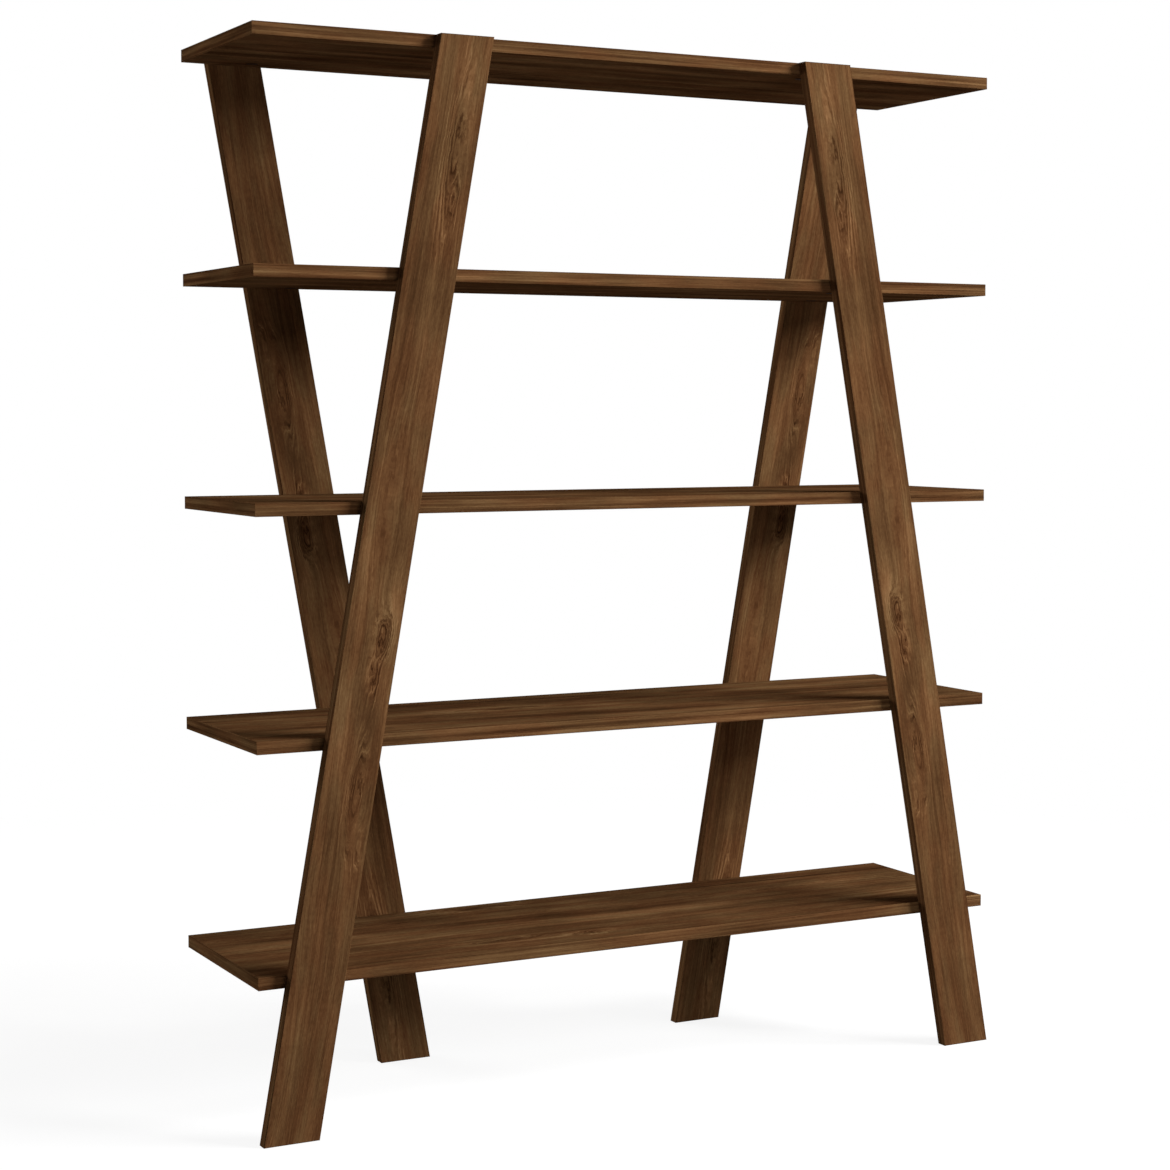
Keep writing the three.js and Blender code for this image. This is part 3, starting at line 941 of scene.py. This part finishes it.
def build_bolt(joint):
    """The connecting bolt: thread in the leg, collar, shank, neck, and head in the cam."""
    node = f"bolt_{joint['name']}"
    low, high = (np.array(c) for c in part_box(node))
    tip = -min(abs(low[1] - joint["edge"][1]), abs(high[1] - joint["edge"][1]))
    end = max(abs(low[1] - joint["edge"][1]), abs(high[1] - joint["edge"][1]))
    collar = (high[0] - low[0]) / 2
    root, shank, neck, head = 2.35 * MM, 3.0 * MM, 1.7 * MM, 3.2 * MM
    run_out, collar_length, dome = 0.4 * MM, 1.6 * MM, 0.8 * MM
    head_length, neck_length = 3.0 * MM, 3.2 * MM
    turns = np.linspace(tip, 0, THREAD_STEPS)
    taper = np.clip((turns - tip) / THREAD_LEAD_IN, 0, 1)
    profile = [(TIP_RADIUS + (root - TIP_RADIUS) * k, h) for k, h in zip(taper, turns)]
    profile += [(root, run_out), (collar, run_out), (collar, run_out + collar_length)]
    profile += [(shank, run_out + collar_length), (shank, end - head_length - neck_length)]
    profile += [(neck, end - head_length - neck_length), (neck, end - head_length)]
    profile += [(head, end - head_length), (head, end - dome)]
    rounding = np.linspace(0, np.pi / 2, ROUNDING_STEPS + 1)[1:]
    profile += [(head - dome * (1 - math.cos(a)), end - dome + dome * math.sin(a)) for a in rounding]

    def thread(angle, height):
        """A sharp ridge, half a pitch wide at its foot, that fades at the tip and the collar."""
        phase = (angle / (2 * np.pi) - height / THREAD_PITCH) % 1.0
        ridge = np.clip(1 - np.abs(phase - 0.5) * 4, 0, 1)
        start = np.clip((height - tip) / THREAD_LEAD_IN, 0, 1)
        return THREAD_HEIGHT * ridge * start * np.clip(-height / THREAD_RUN_OUT, 0, 1)

    points, faces = turned(profile, BOLT_SIDES, thread)
    points = lay_axis(points, joint["edge"], (0, -joint["face"], 0))
    bolt = new_piece(f"connecting_{node}", points, faces, [bolt_steel])
    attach(bolt, "root")
    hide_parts(node)
    return bolt


def build_cover(joint):
    """The plastic cover under one cam: stem up into the cam, dome down, its rim on the board."""
    bend = np.linspace(0, np.pi / 2, COVER_STEPS + 1)[1:]
    rise = COVER_DOME - COVER_RIM
    dome = [(COVER_RADIUS * math.sin(a), -COVER_RIM - rise * math.cos(a)) for a in bend]
    profile = [(COVER_FLAT, -COVER_DOME)] + dome + [(COVER_RADIUS, 0), (COVER_STEM, 0)]
    profile += [(COVER_STEM, COVER_STEM_LENGTH)]
    points, faces = turned(profile, COVER_SIDES)
    spot = (joint["cam"][0], joint["cam"][1], joint["underside"])
    points = lay_axis(points, spot, (0, 0, 1))
    cover = new_piece(f"cover_{joint['name']}", points, faces, [cover_plastic])
    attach(cover, "root")
    return cover


for joint in joints:
    build_dowel(joint)
    build_bolt(joint)
    build_cover(joint)
    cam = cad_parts[f"cam_{joint['name']}"]
    cam.data.materials.clear()
    cam.data.materials.append(cam_zinc)
print("turned pieces:", 3 * len(joints))

# %% [markdown]
# ## Studio
#
# The floor and everything behind the object are white, and the object's own shadow is the only
# thing on the floor. White seen by the camera would also throw a lot of light up at the shelves'
# undersides, so the floor is white to the camera and a middle grey to the light that bounces off
# it. Close to the object the white carries its shadow; further out it turns into a plain glow, so
# the floor has no visible end.

# %% Floor and surroundings
FLOOR_SIZE = 30.0  # metres
FLOOR_BOUNCE = 0.25  # how much light it throws back at the object
FLOOR_GLOW = 0.88  # the part of its white that is always there
FLOOR_SHADOW_SHARE = 0.20  # the part that the lamps give, and the object's shadow takes away
SHADOW_REACH = (1.0, 2.6)  # metres from the middle: full shadow, and none
AMBIENT = 0.116  # the light that matte surfaces get from the surroundings


def floor_material():
    """White with the object's shadow to the camera, and grey to bounced light."""
    material = bpy.data.materials.new("studio_floor")
    material.use_nodes = True
    tree = material.node_tree
    tree.nodes.clear()
    w = Wires(tree)
    place = w.add("ShaderNodeTexCoord").outputs["Object"]
    near = w.remap(w.vector("LENGTH", place), *SHADOW_REACH, 1.0, 0.0)
    glow = w.add("ShaderNodeEmission", {"Color": (1, 1, 1, 1), "Strength": FLOOR_GLOW})
    matte = w.add("ShaderNodeBsdfDiffuse", {"Color": (FLOOR_SHADOW_SHARE,) * 3 + (1,)})
    shaded = w.add("ShaderNodeAddShader", {0: glow.outputs[0], 1: matte.outputs[0]}).outputs[0]
    white = w.add("ShaderNodeEmission", {"Color": (1, 1, 1, 1), "Strength": 1.0}).outputs[0]
    seen = w.add("ShaderNodeMixShader", {0: near, 1: white, 2: shaded}).outputs[0]
    bounce = w.add("ShaderNodeBsdfDiffuse", {"Color": (FLOOR_BOUNCE,) * 3 + (1,)}).outputs[0]
    path = w.add("ShaderNodeLightPath").outputs
    direct = w.maths("MAXIMUM", path["Is Camera Ray"], path["Is Transmission Ray"])
    mixed = w.add("ShaderNodeMixShader", {0: direct, 1: bounce, 2: seen}).outputs[0]
    w.add("ShaderNodeOutputMaterial", {"Surface": mixed})
    return material


def build_floor():
    """A square of floor under the object."""
    half = FLOOR_SIZE / 2
    points = [(-half, -half, 0), (half, -half, 0), (half, half, 0), (-half, half, 0)]
    floor = new_piece("floor", points, [(0, 1, 2, 3)], [floor_material()])
    return floor


def build_world():
    """White to the camera, to reflections and through glass; a dim grey to the matte surfaces."""
    world = bpy.data.worlds.new("studio_world")
    world.use_nodes = True
    tree = world.node_tree
    tree.nodes.clear()
    w = Wires(tree)
    path = w.add("ShaderNodeLightPath").outputs
    seen = w.maths("MAXIMUM", path["Is Camera Ray"], path["Is Glossy Ray"])
    seen = w.maths("MAXIMUM", seen, path["Is Transmission Ray"])
    dim = w.add("ShaderNodeBackground", {"Color": (1, 1, 1, 1), "Strength": AMBIENT}).outputs[0]
    white = w.add("ShaderNodeBackground", {"Color": (1, 1, 1, 1), "Strength": 1.0}).outputs[0]
    mixed = w.add("ShaderNodeMixShader", {0: seen, 1: dim, 2: white}).outputs[0]
    w.add("ShaderNodeOutputWorld", {"Surface": mixed})
    bpy.context.scene.world = world
    return world


build_floor()
build_world()
bpy.context.scene.view_settings.view_transform = "Standard"
print("floor glow", FLOOR_GLOW, "ambient", AMBIENT)

# %% [markdown]
# ## Lamps
#
# A lamp's level is the brightness that a white matte surface facing it takes on, so a level of
# one shows a colour as it is written. For a flat lamp of power P at distance d that brightness is
# P / (pi d)^2, which gives the power from the level wanted.
#
# Two lamps stand far off to the right, one higher than the other, so every leg throws a soft
# shadow to its left and down. A weak one in front, at half the unit's height, softens those
# shadows and reaches the undersides of the upper shelves. A wide one behind, to the left, lights
# the ends of the boards and the rear.

# %% Lamps
AIM = (0.0, 0.0, 0.75)  # the middle of the unit


def lamp(name, azimuth, elevation, distance, size, level):
    """A square lamp aimed at the object. Azimuth 0 is straight in front, positive to the right."""
    data = bpy.data.lights.new(name, "AREA")
    data.shape, data.size = "SQUARE", size
    data.energy = level * (math.pi * distance) ** 2
    a, e = math.radians(azimuth), math.radians(elevation)
    away = np.array([math.sin(a) * math.cos(e), -math.cos(a) * math.cos(e), math.sin(e)])
    light = bpy.data.objects.new(name, data)
    light.location = np.array(AIM) + away * distance
    light.rotation_euler = (math.radians(90) - e, 0, a)
    bpy.context.scene.collection.objects.link(light)
    return light


lamp("main_lamp", azimuth=45, elevation=18, distance=7.0, size=1.5, level=0.69)
lamp("high_lamp", azimuth=60, elevation=30, distance=7.0, size=1.5, level=0.68)
lamp("near_lamp", azimuth=5, elevation=1, distance=3.0, size=0.9, level=0.128)
lamp("rear_lamp", azimuth=215, elevation=5, distance=5.0, size=3.0, level=0.60)
